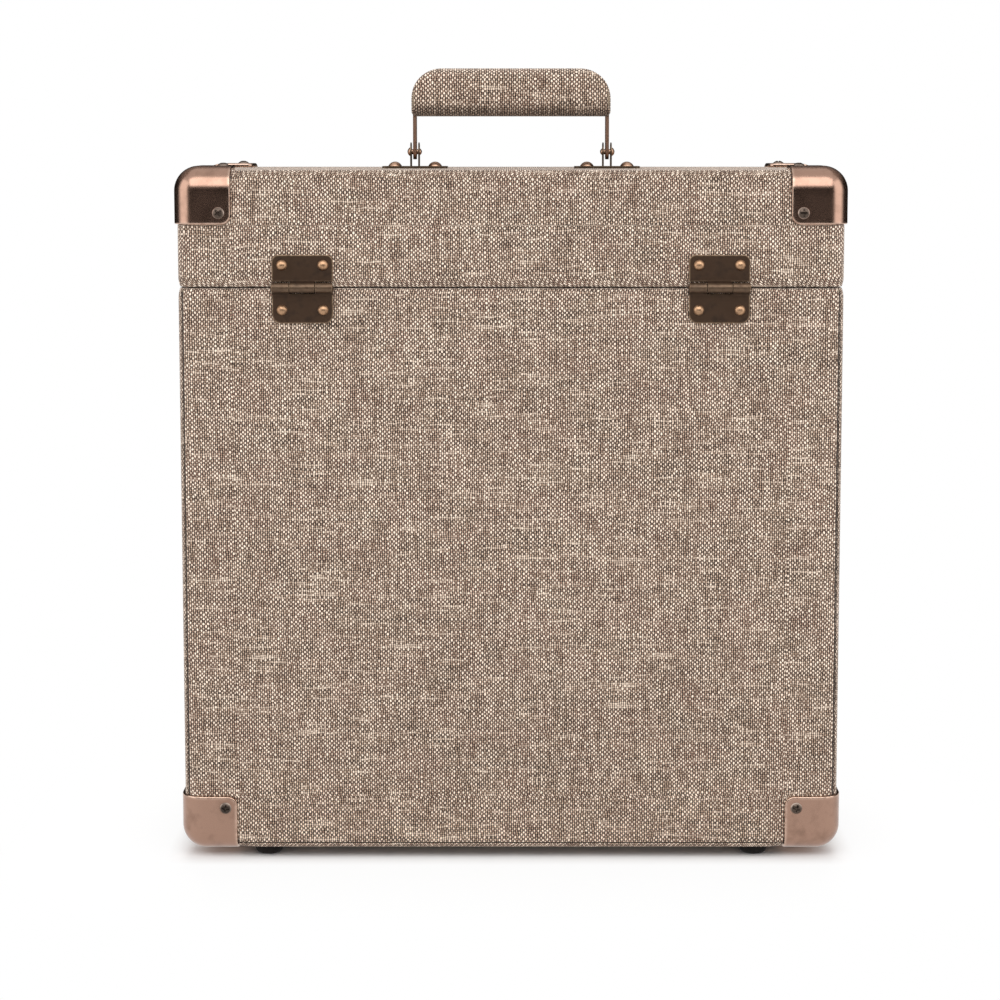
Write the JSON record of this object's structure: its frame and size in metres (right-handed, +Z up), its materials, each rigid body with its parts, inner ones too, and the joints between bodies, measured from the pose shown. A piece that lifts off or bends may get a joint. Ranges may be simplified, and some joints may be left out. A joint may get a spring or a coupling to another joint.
{
  "type": "record carrying case",
  "caption": "Upright cloth-covered carrying case for 12-inch records, with a hinged lid, folding padded grip, pressed copper corner fittings, hinges and snap hasps.",
  "frame": {"origin": "on the floor under the middle of the whole object's box, the lid shut and the handle upright", "axes": "+Z up; hinges at -Y and hasps at +Y; +X to the right of someone who looks at the hinges"},
  "size_m": [0.3584, 0.1568, 0.4242],
  "materials": {
    "case_cloth": "plain-woven tweed-like cloth in cream, beige and brown threads, with slubs",
    "grip_cloth": "the same woven cloth, wrapped round the grip",
    "grip_core": "firm moulded foam",
    "board": "bare fibreboard",
    "lining_paper": "dark embossed lining paper",
    "rim_strip": "dark paper over a board strip",
    "copper_fitting": "antique copper plating, satin, darker in the hollows",
    "copper_screw": "antique copper plating",
    "copper_rivet": "antique copper plating, polished domes",
    "copper_strap": "antique copper plating",
    "aged_bronze": "dark antique bronze, worn bright on its edges",
    "foot_rubber": "matt black rubber",
    "foot_screw": "zinc-plated steel"
  },
  "bodies": {
    "base": {"base_back_panel": "board", "base_front_panel": "board", "base_left_panel": "board", "base_right_panel": "board", "base_bottom_panel": "board", "base_cover": "case_cloth", "base_back_sheet": "case_cloth", "base_front_sheet": "case_cloth", "base_lining": "lining_paper", "rim_strips": "rim_strip", "corner_base_back_left": "copper_fitting", "corner_base_back_right": "copper_fitting", "corner_base_front_left": "copper_fitting", "corner_base_front_right": "copper_fitting", "base_corner_screws": "copper_screw", "hinge_left_lower_leaf": "aged_bronze", "hinge_right_lower_leaf": "aged_bronze", "hinge_left_pin": "aged_bronze", "hinge_right_pin": "aged_bronze", "base_hinge_rivets": "copper_rivet", "catch_left": "aged_bronze", "catch_right": "aged_bronze", "catch_rivets": "copper_rivet", "feet": "foot_rubber", "foot_screws": "foot_screw"},
    "lid": {"lid_top_panel": "board", "lid_back_panel": "board", "lid_front_panel": "board", "lid_left_panel": "board", "lid_right_panel": "board", "lid_cover": "case_cloth", "lid_lining": "lining_paper", "corner_lid_back_left": "copper_fitting", "corner_lid_back_right": "copper_fitting", "corner_lid_front_left": "copper_fitting", "corner_lid_front_right": "copper_fitting", "lid_corner_screws": "copper_screw", "hinge_left_upper_leaf": "aged_bronze", "hinge_right_upper_leaf": "aged_bronze", "lid_hinge_rivets": "copper_rivet", "handle_bracket_left": "aged_bronze", "handle_bracket_right": "aged_bronze", "bracket_rivets": "copper_rivet", "handle_pin_left": "copper_rivet", "handle_pin_right": "copper_rivet", "hasp_plate_left": "aged_bronze", "hasp_plate_right": "aged_bronze", "hasp_plate_rivets": "copper_rivet", "hasp_pin_left": "aged_bronze", "hasp_pin_right": "aged_bronze"},
    "handle": {"handle_strap": "copper_strap", "grip_core": "grip_core", "grip_cover": "grip_cloth"},
    "hasp_left": {"hasp_left": "aged_bronze"},
    "hasp_right": {"hasp_right": "aged_bronze"}
  },
  "joints": [
    {"name": "lid_hinge", "type": "hinge", "parent": "base", "child": "lid", "pos_m": [0, -0.07577, 0.308], "axis": [1, 0, 0], "range_deg": [0, 105]},
    {"name": "handle_fold", "type": "hinge", "parent": "lid", "child": "handle", "pos_m": [0, -0.00282, 0.3786], "axis": [1, 0, 0], "range_deg": [-80, 80]},
    {"name": "hasp_left_swing", "type": "hinge", "parent": "lid", "child": "hasp_left", "pos_m": [-0.1065, 0.06973, 0.3145], "axis": [1, 0, 0], "range_deg": [-8, 150]},
    {"name": "hasp_right_swing", "type": "hinge", "parent": "lid", "child": "hasp_right", "pos_m": [0.1065, 0.06973, 0.3145], "axis": [1, 0, 0], "range_deg": [-8, 150]}
  ]
}
